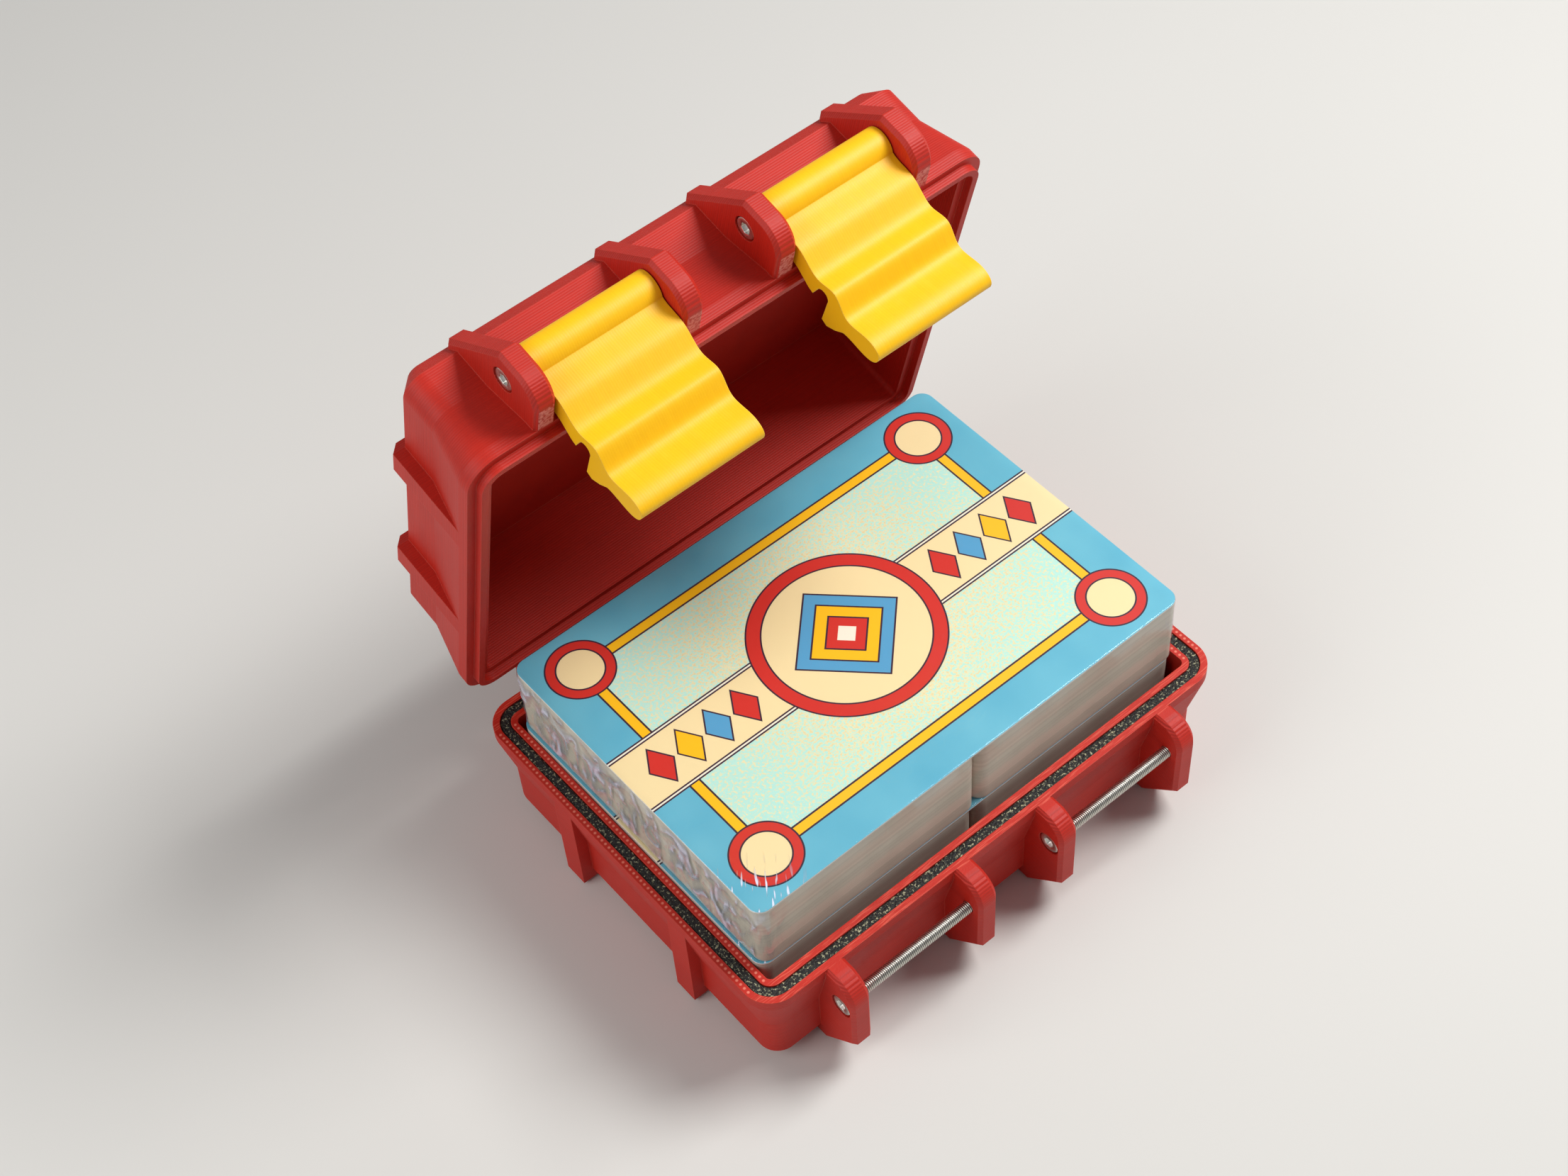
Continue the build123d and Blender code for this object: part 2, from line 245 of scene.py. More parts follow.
tub_plastic, tub_surface, tub_place = printed_plastic(
    "red_pla_tub", *RED_PRINT, (0, 0, 1), (0, 0, 0), 0.56, RED_LAYER_DEPTH)[:3]
lid_plastic, lid_surface, lid_place, lid_height = printed_plastic(
    "red_pla_lid", *RED_PRINT, lid_up, hinge, 0.56, RED_LAYER_DEPTH)
latch_plastic = printed_plastic("yellow_pla", *YELLOW_PRINT, (1, 0, 0), (0, 0, 0), 0.5, YELLOW_LAYER_DEPTH)[0]
dress("base_tub", tub_plastic)
dress("lid_shell", lid_plastic)
dress("latch_left", latch_plastic)
dress("latch_right", latch_plastic)
print("printed materials:", tub_plastic.name, lid_plastic.name, latch_plastic.name)

# %% [markdown]
# ## Marks of the printer on the rim and the lugs
#
# On the two ends of the rim every turn of the nozzle left a pale dot, a row of them on the outer lip and one on
# the inner. Along the front and the back the strokes run with the lip and show as streaks. The undersides of the
# lid's lugs were printed on supports, which broke off with a pale, rough scar. Each mark is a mask built from
# positions, laid over the plastic's colour. The dots are drawn 1.3 mm apart, so that they show.

# %% Masks and marks
def where(tree, *limits):
    """One where each value lies between its two limits, given as (value, low, high)."""
    mask = 1.0
    for value, low, high in limits:
        above = add(tree, "ShaderNodeMath", (value, low), operation="GREATER_THAN").outputs[0]
        below = add(tree, "ShaderNodeMath", (value, high), operation="LESS_THAN").outputs[0]
        inside = add(tree, "ShaderNodeMath", (above, below), operation="MULTIPLY").outputs[0]
        mask = add(tree, "ShaderNodeMath", (inside, mask), operation="MULTIPLY").outputs[0]
    return mask


def lay_over(tree, surface, colour, mark, place_mask):
    """Mix a mark of one colour over the base colour of a surface, where the mask of its place allows."""
    below = surface.inputs["Base Color"].links[0].from_socket
    mask = add(tree, "ShaderNodeMath", (mark, place_mask), operation="MULTIPLY").outputs[0]
    mixed = add(tree, "ShaderNodeMix", {"Factor": mask, "A": below, "B": to_linear(colour)}, data_type="RGBA")
    tree.links.new(mixed.outputs["Result"], surface.inputs["Base Color"])


print("nodes in the tub's finish before the marks:", len(tub_plastic.node_tree.nodes))

# %% Dots and streaks on the rim of the tub, with all lengths in millimetres
CAVITY_HALF = 63.6
PAST_RIM = 70.0
LIP_CENTRE = 66.6
LIP_OFFSET = 2.15
DOT_PITCH = 1.3
DOTTED_HALF = 46.0
STREAKED = (46.6, 53.0)
LEVEL_SLACK = 0.05

tree = tub_plastic.node_tree
in_mm = add(tree, "ShaderNodeVectorMath", {0: tub_place, 3: 1 / MM}, operation="SCALE").outputs[0]
folded = add(tree, "ShaderNodeVectorMath", (in_mm,), operation="ABSOLUTE").outputs[0]
x, y, z = add(tree, "ShaderNodeSeparateXYZ", (folded,)).outputs[:3]
on_rim = (z, rim_height / MM - LEVEL_SLACK, rim_height / MM + LEVEL_SLACK)
past_middle = add(tree, "ShaderNodeMath", (x, LIP_CENTRE), operation="SUBTRACT").outputs[0]
either_side = add(tree, "ShaderNodeMath", (past_middle,), operation="ABSOLUTE").outputs[0]
from_lip = add(tree, "ShaderNodeMath", (either_side, LIP_OFFSET), operation="SUBTRACT").outputs[0]
along = add(tree, "ShaderNodeMath", (y, DOT_PITCH / 2), operation="PINGPONG").outputs[0]
spot = add(tree, "ShaderNodeCombineXYZ", (from_lip, along)).outputs[0]
reach = add(tree, "ShaderNodeVectorMath", (spot,), operation="LENGTH").outputs[1]
dot = add(tree, "ShaderNodeMapRange", {
    "Value": reach, "From Min": 0.42, "From Max": 0.2, "To Max": 0.75}).outputs[0]
ends = where(tree, on_rim, (y, -1.0, DOTTED_HALF), (x, CAVITY_HALF, PAST_RIM))
lay_over(tree, tub_surface, "F08A74", dot, ends)

strokes = add(tree, "ShaderNodeVectorMath", (in_mm, (0.12, 2.2, 1.0)), operation="MULTIPLY").outputs[0]
streaks = add(tree, "ShaderNodeTexNoise", {"Vector": strokes, "Scale": 1.6, "Detail": 3.0}).outputs[0]
streak = add(tree, "ShaderNodeMapRange", {
    "Value": streaks, "From Min": 0.5, "From Max": 0.68, "To Max": 0.6}).outputs[0]
lay_over(tree, tub_surface, "EC6E57", streak, where(tree, on_rim, (y, *STREAKED)))
print("dots along each lip:", round(2 * DOTTED_HALF / DOT_PITCH))

# %% Scars of the supports under the lid's lugs
LUG_UNDERSIDE = (-117.5 * MM, -110.8 * MM)
SCAR_LAYER = (-0.05 * MM, 0.12 * MM)

tree = lid_plastic.node_tree
from_hinge = add(tree, "ShaderNodeVectorMath", (lid_place, tuple(hinge)), operation="SUBTRACT").outputs[0]
lid_depth = add(tree, "ShaderNodeVectorMath", (from_hinge, tuple(lid_across)),
                operation="DOT_PRODUCT").outputs[1]
torn_print = add(tree, "ShaderNodeTexNoise", {
    "Vector": lid_place, "Scale": per_metre(0.7), "Detail": 4.0}).outputs[0]
scar = add(tree, "ShaderNodeMapRange", {
    "Value": torn_print, "From Min": 0.36, "From Max": 0.6, "To Max": 0.7}).outputs[0]
lay_over(tree, lid_surface, "E9938A", scar, where(tree, (lid_height, *SCAR_LAYER), (lid_depth, *LUG_UNDERSIDE)))
print("scars reach out from the hinge mm:", [round(-v / MM, 1) for v in LUG_UNDERSIDE])

# %% [markdown]
# ## Zinc-plated screws with real threads
#
# Six M3 by 40 socket-head screws hold the case: two to catch the latches, two to hang them, two as hinges. The
# bare shanks show between the lugs, so their threads are modelled: a tube whose radius is a triangle wave of
# the distance along it, shifted by the turn round it, is a true helix. The head is turned from an outline, and
# its socket is six-sided.

# %% Mesh helpers
def mesh_object(name, points, faces, material, **point_values):
    """Object with smooth faces made from points and faces, with named values on its points."""
    mesh = bpy.data.meshes.new(name)
    mesh.from_pydata(points, [], faces)
    for label, values in point_values.items():
        mesh.attributes.new(label, "FLOAT", "POINT").data.foreach_set("value", values)
    mesh.validate()
    mesh.materials.append(material)
    mesh.polygons.foreach_set("use_smooth", [True] * len(mesh.polygons))
    piece = bpy.data.objects.new(name, mesh)
    bpy.context.scene.collection.objects.link(piece)
    return piece


def bridge(first, second, count):
    """Faces between two rings of the same number of points."""
    return [(first + i, first + (i + 1) % count, second + (i + 1) % count, second + i) for i in range(count)]


def end_caps(total, count):
    """Faces that close a tube of rings at its first and its last ring."""
    return [tuple(range(count)), tuple(reversed(range(total - count, total)))]


print("one face of a bridge:", bridge(0, 4, 4)[0])

# %% Threads, heads and sockets
THREAD_PITCH = 0.5 * MM
THREAD_DEPTH = 0.27 * MM
THREAD_STEPS = 6
SHANK_RADIUS = 1.5 * MM
POINT_LENGTH = 0.5 * MM
POINT_DROP = 0.35 * MM
PINHOLE = 0.05 * MM
HEAD_HEIGHT = 3.0 * MM
SOCKET_REACH = 1.44 * MM
SOCKET_DEPTH = 1.6 * MM
SOCKET_CHAMFER = 0.12 * MM
SIDES = 36
TURNS = [2 * math.pi * i / SIDES for i in range(SIDES)]

# Outline of the head in millimetres: distance from its top, and radius
HEAD_OUTLINE = ((0.0, 2.45), (0.05, 2.62), (0.2, 2.73), (0.4, 2.75), (2.9, 2.75), (3.0, 2.68), (3.0, 1.6))


def hexagon(turn):
    """Distance from the middle to the wall of the six-sided socket."""
    return SOCKET_REACH * math.cos(math.pi / 6) / math.cos((turn + math.pi / 6) % (math.pi / 3) - math.pi / 6)


def screw_mesh(name, start, axis_up, length, material):
    """Screw along X from the top of its head, with a helical thread and a hexagon socket."""
    across = Vector((1, 0, 0)).cross(axis_up)
    rays = [math.cos(turn) * axis_up + math.sin(turn) * across for turn in TURNS]
    points = []
    depths = []

    def ring(x, radii, grooves=(0.0,) * SIDES):
        points.extend(start + Vector((x, 0, 0)) + radius * ray for radius, ray in zip(radii, rays))
        depths.extend(grooves)

    for x, share in ((SOCKET_DEPTH, 0.02), (SOCKET_DEPTH, 1.0), (SOCKET_CHAMFER, 1.0)):
        ring(x, [hexagon(turn) * share for turn in TURNS])
    ring(0.0, [hexagon(turn) + SOCKET_CHAMFER for turn in TURNS])
    for x, radius in HEAD_OUTLINE:
        ring(x * MM, [radius * MM] * SIDES)
    for step in range(int((length - HEAD_HEIGHT) / THREAD_PITCH * THREAD_STEPS) + 1):
        along = HEAD_HEIGHT + step * THREAD_PITCH / THREAD_STEPS
        drop = (1 - min(1.0, (length - along) / POINT_LENGTH)) * POINT_DROP
        wave = [abs(((along / THREAD_PITCH - turn / (2 * math.pi)) % 1.0) - 0.5) * 2 for turn in TURNS]
        ring(min(along, length), [SHANK_RADIUS - THREAD_DEPTH * height - drop for height in wave], wave)
    ring(length, [PINHOLE] * SIDES)

    faces = end_caps(len(points), SIDES)
    for first in range(0, len(points) - SIDES, SIDES):
        faces += bridge(first, first + SIDES, SIDES)
    return mesh_object(name, points, faces, material, groove=depths)


print("thread turns per centimetre:", round(10 * MM / THREAD_PITCH))

# %% [markdown]
# Zinc plate is bright but a little milky. It is a metal, so it has no colour of its own besides its
# reflection, which is nearly neutral, and a roughness of about a third keeps the highlight on each thread
# long and soft. The thread grooves get a painted shade, so they are darker than the crests. The mesh keeps
# how deep in a groove each point lies, and the finish reads that.

# %% Zinc plate
zinc, tree, output = new_material("zinc_plated_steel")
place = add(tree, "ShaderNodeTexCoord").outputs["Object"]
smears = add(tree, "ShaderNodeTexNoise", {"Vector": place, "Scale": per_metre(1.2), "Detail": 4.0}).outputs[0]
zinc_rough = add(tree, "ShaderNodeMapRange", {"Value": smears, "To Min": 0.3, "To Max": 0.42}).outputs[0]
zinc_tone = add(tree, "ShaderNodeMix", {
    "Factor": smears, "A": to_linear("C9C7BE"), "B": to_linear("F0EEE6")}, data_type="RGBA").outputs["Result"]
groove = add(tree, "ShaderNodeAttribute", attribute_name="groove").outputs["Fac"]
# Painted shade: the deeper a point lies in a thread groove, the more it is mixed towards dark grey 4B4842.
thread_groove_shade = add(tree, "ShaderNodeMapRange", {
    "Value": groove, "From Min": 0.25, "From Max": 0.95, "To Max": 0.85}).outputs[0]
zinc_shaded = add(tree, "ShaderNodeMix", {
    "Factor": thread_groove_shade, "A": zinc_tone, "B": to_linear("4B4842")}, data_type="RGBA").outputs["Result"]
zinc_surface = add(tree, "ShaderNodeBsdfPrincipled", {
    "Base Color": zinc_shaded, "Metallic": 1.0, "Roughness": zinc_rough})
tree.links.new(zinc_surface.outputs[0], output.inputs["Surface"])
print("zinc nodes:", len(tree.nodes))

# %% The six screws
screw_bodies = {"catch_screw": "tub", "hinge_screw": "tub", "latch_pivot": "pivot"}
for kind, body in screw_bodies.items():
    for side in ("left", "right"):
        node = f"{kind}_{side}"
        low, high = (Vector(corner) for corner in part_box(node))
        middle = (low + high) / 2
        start = Vector((low.x, middle.y, middle.z))
        up = lid_up if kind == "latch_pivot" else Vector((0, 0, 1))
        screw = screw_mesh(f"threaded_{node}", start, up, high.x - low.x, zinc)
        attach(screw, f"pivot_{side}" if kind == "latch_pivot" else body)
        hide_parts(node)
print("screw faces:", len(screw.data.polygons))

# %% [markdown]
# ## Foam gasket
#
# A cord of black cell foam lies in the groove of the rim. Its cut top is a field of torn cells, so a speckled
# colour alone would look like paint. The band is a mesh with a crowned, uneven top, which follows a rounded
# rectangle round the rim.

# %% Loop round a rounded rectangle
def rounded_loop(half_x, half_y, corner, count_side, count_corner):
    """Points round a rounded rectangle, counter-clockwise, with the same count for every inset."""
    loop = []
    centres = [(half_x - corner, half_y - corner, 0), (-half_x + corner, half_y - corner, 90),
               (-half_x + corner, -half_y + corner, 180), (half_x - corner, -half_y + corner, 270)]
    for index, (cx, cy, turn) in enumerate(centres):
        for step in range(count_corner + 1):
            angle = math.radians(turn + 90 * step / count_corner)
            loop.append((cx + corner * math.cos(angle), cy + corner * math.sin(angle)))
        next_x, next_y, next_turn = centres[(index + 1) % 4]
        angle = math.radians(next_turn)
        end = (next_x + corner * math.cos(angle), next_y + corner * math.sin(angle))
        last = loop[-1]
        for step in range(1, count_side):
            share = step / count_side
            loop.append((last[0] + (end[0] - last[0]) * share, last[1] + (end[1] - last[1]) * share))
    return loop


print("points round a loop of 2 steps a side and 1 a corner:", len(rounded_loop(2.0, 1.0, 0.5, 2, 1)))

# %% Gasket mesh
GROOVE = 2.6 * MM
GROOVE_ROOM = 0.1 * MM
GASKET_CORNER = 5.75 * MM
TORN_DEPTH = 0.18 * MM
TORN_CELL = 0.9 * MM

# Cross-section of the band: share of its width across, and share of its height up
SECTION = [(0.0, 0.0), (0.0, 0.6), (0.0, 0.9), (0.12, 1.0), (0.35, 1.0), (0.65, 1.0), (0.88, 1.0), (1.0, 0.9),
           (1.0, 0.6), (1.0, 0.0)]

gasket_low, gasket_high = (Vector(corner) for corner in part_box("gasket"))
gasket_half = (gasket_high - gasket_low) / 2
gasket_height = gasket_high.z - gasket_low.z
points = []
for across, rise in SECTION:
    inset = across * (GROOVE - GROOVE_ROOM)
    loop = rounded_loop(gasket_half.x - inset, gasket_half.y - inset, GASKET_CORNER - inset, 220, 16)
    for x, y in loop:
        drop = 0.0
        if rise == 1.0:
            drop = TORN_DEPTH * (1 + noise.noise(Vector((x, y, 0)) / TORN_CELL))
        points.append((x, y, gasket_low.z + rise * gasket_height - drop))
loop_count = len(loop)
faces = []
for i in range(len(SECTION)):
    faces += bridge(((i + 1) % len(SECTION)) * loop_count, i * loop_count, loop_count)
print("gasket points round:", loop_count)

# %% [markdown]
# The finish adds the open cells as dark pits and the torn walls between them as pale specks. They are drawn
# half a millimetre wide and more, coarser than real cells, so that they show. Foam is dull, so it is rough.
# When the lid closes, its tongue presses the foam down to less than half its height; the band here keeps its full
# height.

# %% Foam finish and the gasket's place
foam, tree, output = new_material("black_cell_foam")
place = add(tree, "ShaderNodeTexCoord").outputs["Object"]
cells = add(tree, "ShaderNodeTexVoronoi", {"Vector": place, "Scale": per_metre(0.55)}).outputs["Distance"]
torn = add(tree, "ShaderNodeTexNoise", {
    "Vector": place, "Scale": per_metre(0.7), "Detail": 5.0, "Roughness": 0.75}).outputs[0]
worn = add(tree, "ShaderNodeMapRange", {"Value": torn, "From Min": 0.56, "From Max": 0.62}).outputs[0]
speckled = add(tree, "ShaderNodeMix", {
    "Factor": worn, "A": to_linear("141311"), "B": to_linear("BDB994")}, data_type="RGBA").outputs["Result"]
pits = add(tree, "ShaderNodeMapRange", {"Value": cells, "To Min": 1.0, "To Max": 0.0}).outputs[0]
foam_relief = add(tree, "ShaderNodeMath", (torn, 0.8, pits), operation="MULTIPLY_ADD").outputs[0]
foam_bump = add(tree, "ShaderNodeBump", {
    "Strength": 1.0, "Distance": 0.25 * MM, "Height": foam_relief}).outputs[0]
foam_surface = add(tree, "ShaderNodeBsdfPrincipled", {
    "Base Color": speckled, "Roughness": 0.62, "IOR": 1.5, "Normal": foam_bump})
tree.links.new(foam_surface.outputs[0], output.inputs["Surface"])

gasket = mesh_object("foam_gasket", points, faces, foam)
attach(gasket, "tub")
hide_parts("gasket")
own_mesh(gasket)
print("gasket faces:", len(gasket.data.polygons))

# %% [markdown]
# ## Cut edges of the cards
#
# Each deck is a block of coated cards, so its sides are a stack of thin paper edges. They differ a little in
# tone from card to card, and the cut leaves a fine level grain. White noise driven by the card's number in
# the stack gives each edge its own tone. A card is 0.3 mm thick, which is drawn as it is.

# %% Card edge material
CARD = 0.3 * MM

card_stock, tree, output = new_material("coated_card_edges")
place = add(tree, "ShaderNodeTexCoord").outputs["Object"]
card_height = add(tree, "ShaderNodeSeparateXYZ", (place,)).outputs["Z"]
card_number = add(tree, "ShaderNodeMath", (card_height, 1 / CARD), operation="MULTIPLY").outputs[0]
card_floor = add(tree, "ShaderNodeMath", (card_number,), operation="FLOOR").outputs[0]
card_tone = add(tree, "ShaderNodeTexWhiteNoise", {"W": card_floor}, noise_dimensions="1D").outputs[0]
soft = add(tree, "ShaderNodeTexNoise", {"Vector": place, "Scale": per_metre(14), "Detail": 2.0}).outputs[0]
edge_tone = add(tree, "ShaderNodeMath", (card_tone, 0.35, soft), operation="MULTIPLY_ADD").outputs[0]
edge_colour = add(tree, "ShaderNodeMix", {
    "Factor": edge_tone, "A": to_linear("B9B2A0"), "B": to_linear("DDD6C4")}, data_type="RGBA").outputs["Result"]
gap = add(tree, "ShaderNodeMath", (card_number, 0.5), operation="PINGPONG").outputs[0]
edge_bump = add(tree, "ShaderNodeBump", {"Strength": 0.6, "Distance": 0.05 * MM, "Height": gap}).outputs[0]
edge_surface = add(tree, "ShaderNodeBsdfPrincipled", {
    "Base Color": edge_colour, "Roughness": 0.6, "IOR": 1.5, "Normal": edge_bump})
tree.links.new(edge_surface.outputs[0], output.inputs["Surface"])
for pack in ("lower", "upper"):
    for side in ("left", "right"):
        dress(f"{pack}_deck_{side}", card_stock)
deck_low, deck_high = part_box("upper_deck_left")
print("cards in one upper deck:", round((deck_high[2] - deck_low[2]) / CARD))

# %% [markdown]
# ## Printed cover sheet
#
# The sheet on top of each pack is coated board with a bright print: a sky-blue border, a mint field that turns
# to cream in the middle through a fine stipple, golden frame lines and red rings. Its pattern here is a plain
# geometric one. Flat shapes are masks worked out from distances in millimetres, laid over each other from the
# ground up like inks, so they stay crisp at any size.

# %% Shapes for the print
def ink(tree, under, distance, layers):
    """Print flat colours over what is there, each where the distance in mm is under its limit."""
    for limit, colour in layers:
        mask = add(tree, "ShaderNodeMath", (distance, limit), operation="LESS_THAN").outputs[0]
        over = to_linear(colour) if isinstance(colour, str) else colour
        under = add(tree, "ShaderNodeMix", {"Factor": mask, "A": under, "B": over},
                    data_type="RGBA").outputs["Result"]
    return under


def from_panel(tree, quarter, half_x, half_y, corner):
    """Signed distance in mm from a panel with round corners, for the sheet folded to one quarter."""
    inner = (half_x - corner, half_y - corner, 0)
    past = add(tree, "ShaderNodeVectorMath", (quarter, inner), operation="SUBTRACT").outputs[0]
    outside = add(tree, "ShaderNodeVectorMath", (past, (0, 0, 0)), operation="MAXIMUM").outputs[0]
    reach = add(tree, "ShaderNodeVectorMath", (outside,), operation="LENGTH").outputs[1]
    past_x, past_y = add(tree, "ShaderNodeSeparateXYZ", (past,)).outputs[:2]
    deeper = add(tree, "ShaderNodeMath", (past_x, past_y), operation="MAXIMUM").outputs[0]
    inside = add(tree, "ShaderNodeMath", (deeper, 0.0), operation="MINIMUM").outputs[0]
    total = add(tree, "ShaderNodeMath", (reach, inside), operation="ADD").outputs[0]
    return add(tree, "ShaderNodeMath", (total, corner), operation="SUBTRACT").outputs[0]


def from_diamond(tree, quarter, x, half_x, half_y):
    """How far a point lies out of a diamond, as a share of its size, for the sheet folded to one quarter."""
    moved = add(tree, "ShaderNodeVectorMath", (quarter, (x, 0, 0)), operation="SUBTRACT").outputs[0]
    folded = add(tree, "ShaderNodeVectorMath", (moved,), operation="ABSOLUTE").outputs[0]
    return add(tree, "ShaderNodeVectorMath", (folded, (1 / half_x, 1 / half_y, 0)),
               operation="DOT_PRODUCT").outputs[1]


print("white board as linear:", [round(c, 3) for c in to_linear("F5F3EE")])

# %% [markdown]
# The field's stipple is a noise of grains, whose threshold drops towards the middle of the sheet, with darker
# sandy grains in between. The real grains are about half a millimetre and are drawn at 0.65 mm so that they show.

# %% Stippled field
MINT = "BDEBDD"
GLOW = "F4E9BA"
SAND = "D6C48C"
STIPPLE = 0.65
GRAIN_CONTRAST = 5.5
GLOW_INNER = 8.0
GLOW_OUTER = 52.0
WAVES_PER_MM = 0.035
CREAM_FROM = 0.42


def stippled_field(tree, place, centre):
    """Mint that turns to cream towards the middle of the sheet, grain by grain."""
    grains = add(tree, "ShaderNodeTexNoise", {"Vector": place, "Scale": 1 / STIPPLE, "Detail": 1.0}).outputs[0]
    waves = add(tree, "ShaderNodeTexNoise", {"Vector": place, "Scale": WAVES_PER_MM, "Detail": 1.0}).outputs[0]
    glow = add(tree, "ShaderNodeMapRange", {
        "Value": centre, "From Min": GLOW_INNER, "From Max": GLOW_OUTER, "To Min": 1.0, "To Max": 0.0}).outputs[0]
    density = add(tree, "ShaderNodeMath", (waves, 0.9, glow), operation="MULTIPLY_ADD").outputs[0]
    level = add(tree, "ShaderNodeMath", (density, CREAM_FROM), operation="SUBTRACT").outputs[0]
    fine = add(tree, "ShaderNodeMath", (grains, GRAIN_CONTRAST, -GRAIN_CONTRAST / 2),
               operation="MULTIPLY_ADD").outputs[0]
    speck = add(tree, "ShaderNodeMath", (level, fine), operation="ADD", use_clamp=True).outputs[0]
    field = add(tree, "ShaderNodeMix", {"Factor": speck, "A": to_linear(MINT), "B": to_linear(GLOW)},
                data_type="RGBA").outputs["Result"]
    sand = add(tree, "ShaderNodeMapRange", {
        "Value": grains, "From Min": 0.5, "From Max": 0.68, "To Max": 0.42}).outputs[0]
    sandy = add(tree, "ShaderNodeMapRange", {"Value": density, "From Min": 0.35, "From Max": 0.9}).outputs[0]
    sand_mask = add(tree, "ShaderNodeMath", (sand, sandy), operation="MULTIPLY").outputs[0]
    return add(tree, "ShaderNodeMix", {"Factor": sand_mask, "A": field, "B": to_linear(SAND)},
               data_type="RGBA").outputs["Result"]


print("grains across the sheet:", round(126.0 / STIPPLE))

# %% [markdown]
# The print is the same on both packs, so one function makes the material for a sheet with a given middle. Each
# shape is a row of limits in millimetres from the outside inwards, with the colour that is printed inside each.
# The diamonds are given by their places along the band and the colour of each.
# The coating is glossy but worn a little uneven. The cut edge of the board is bare and white.

# %% Colours and measures of the print
DARK = "3A2438"
GOLD = "FFC61A"
RED = "D8342A"
BLUE = "5AA7CF"
CREAM = "F8E3AE"
IVORY = "F7F1DC"
BARE_BOARD = "F5F3EE"
OUTLINE = 0.45
FRAME_HALF = (51.5, 33.0)
FRAME_CORNER = 7.0
FRAME_LINE = 1.1
BAND = ((8.6, DARK), (8.2, IVORY), (7.8, DARK), (7.4, CREAM))
DIAMONDS = ((30.0, RED), (38.0, BLUE), (46.0, GOLD), (54.0, RED))
DIAMOND_HALF = (3.2, 5.2)
DIAMOND_OUTLINE = 1.14
CORNER_DISC = ((8.4, DARK), (8.0, RED), (5.9, DARK), (5.5, CREAM))
MEDALLION = ((23.4, DARK), (23.0, RED), (19.9, DARK), (19.5, CREAM))
ROSETTE = ((15.6, DARK), (15.0, BLUE), (11.2, DARK), (10.6, GOLD), (6.8, DARK), (6.2, RED), (2.9, IVORY))
print("diamonds on the band:", 2 * len(DIAMONDS))

# %% Cover sheet material
def cover_print(name, middle):
    """Coated board with its print laid out from the middle of the sheet."""
    material, tree, output = new_material(name)
    raw = add(tree, "ShaderNodeTexCoord").outputs["Object"]
    moved = add(tree, "ShaderNodeVectorMath", (raw, tuple(middle)), operation="SUBTRACT").outputs[0]
    place = add(tree, "ShaderNodeVectorMath", (moved, (1 / MM, 1 / MM, 0)), operation="MULTIPLY").outputs[0]
    quarter = add(tree, "ShaderNodeVectorMath", (place,), operation="ABSOLUTE").outputs[0]
    from_band = add(tree, "ShaderNodeSeparateXYZ", (quarter,)).outputs["Y"]
    centre = add(tree, "ShaderNodeVectorMath", (place, (0, 0, 0)), operation="DISTANCE").outputs[1]
    corner_disc = add(tree, "ShaderNodeVectorMath", (quarter, (*FRAME_HALF, 0)), operation="DISTANCE").outputs[1]

    cloud = add(tree, "ShaderNodeTexNoise", {"Vector": place, "Scale": 1 / 20, "Detail": 2.0}).outputs[0]
    sky = add(tree, "ShaderNodeMix", {"Factor": cloud, "A": to_linear("4FABC6"), "B": to_linear("7ECAD9")},
              data_type="RGBA").outputs["Result"]
    field = stippled_field(tree, place, centre)
    frame_line = from_panel(tree, quarter, *FRAME_HALF, FRAME_CORNER)
    colours = ink(tree, sky, frame_line, (
        (FRAME_LINE + OUTLINE, DARK), (FRAME_LINE, GOLD), (-FRAME_LINE, DARK), (-FRAME_LINE - OUTLINE, field)))
    colours = ink(tree, colours, from_band, BAND)
    for x, colour in DIAMONDS:
        diamond = from_diamond(tree, quarter, x, *DIAMOND_HALF)
        colours = ink(tree, colours, diamond, ((DIAMOND_OUTLINE, DARK), (1.0, colour)))
    colours = ink(tree, colours, corner_disc, CORNER_DISC)
    colours = ink(tree, colours, centre, MEDALLION)
    colours = ink(tree, colours, from_diamond(tree, quarter, 0, 1.0, 1.0), ROSETTE)
    normal = add(tree, "ShaderNodeNewGeometry").outputs["Normal"]
    facing_up = add(tree, "ShaderNodeSeparateXYZ", (normal,)).outputs["Z"]
    colours = ink(tree, colours, facing_up, ((0.5, BARE_BOARD),))

    gloss = add(tree, "ShaderNodeTexNoise", {"Vector": place, "Scale": 0.8, "Detail": 3.0}).outputs[0]
    rough = add(tree, "ShaderNodeMapRange", {"Value": gloss, "To Min": 0.36, "To Max": 0.5}).outputs[0]
    surface = add(tree, "ShaderNodeBsdfPrincipled", {"Base Color": colours, "Roughness": rough, "IOR": 1.5})
    tree.links.new(surface.outputs[0], output.inputs["Surface"])
    return material


for pack in ("lower", "upper"):
    low, high = (Vector(corner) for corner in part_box(f"{pack}_cover_card"))
    middle = (low + high) / 2
    dress(f"{pack}_cover_card", cover_print(f"coated_print_{pack}", middle))
print("cover sheet mm:", [round(v / MM, 1) for v in (high - low)[:2]])

# %% [markdown]
# ## Shrink film
#
# Thin clear film was shrunk round each pack with hot air. It lies tight and flat over the long sides, gathers
# into folds round the corners and wrinkles on the left end. Its skin is a closed mesh that follows the pack,
# pushed outwards by stretched noise where the real film is loose. The mesh is made of rows from the middle of
# the top, over the round edge, down the sides and in to the middle of the underside.

# %% Rows of the film
ROUND_OVER = 0.5 * MM
ROUND_STEPS = 4
SIDE_ROWS = 26
TOP_SCALES = (0.02, 0.25, 0.5, 0.7, 0.84, 0.92, 0.965)
UNDERSIDE_SCALES = (0.9, 0.5, 0.02)


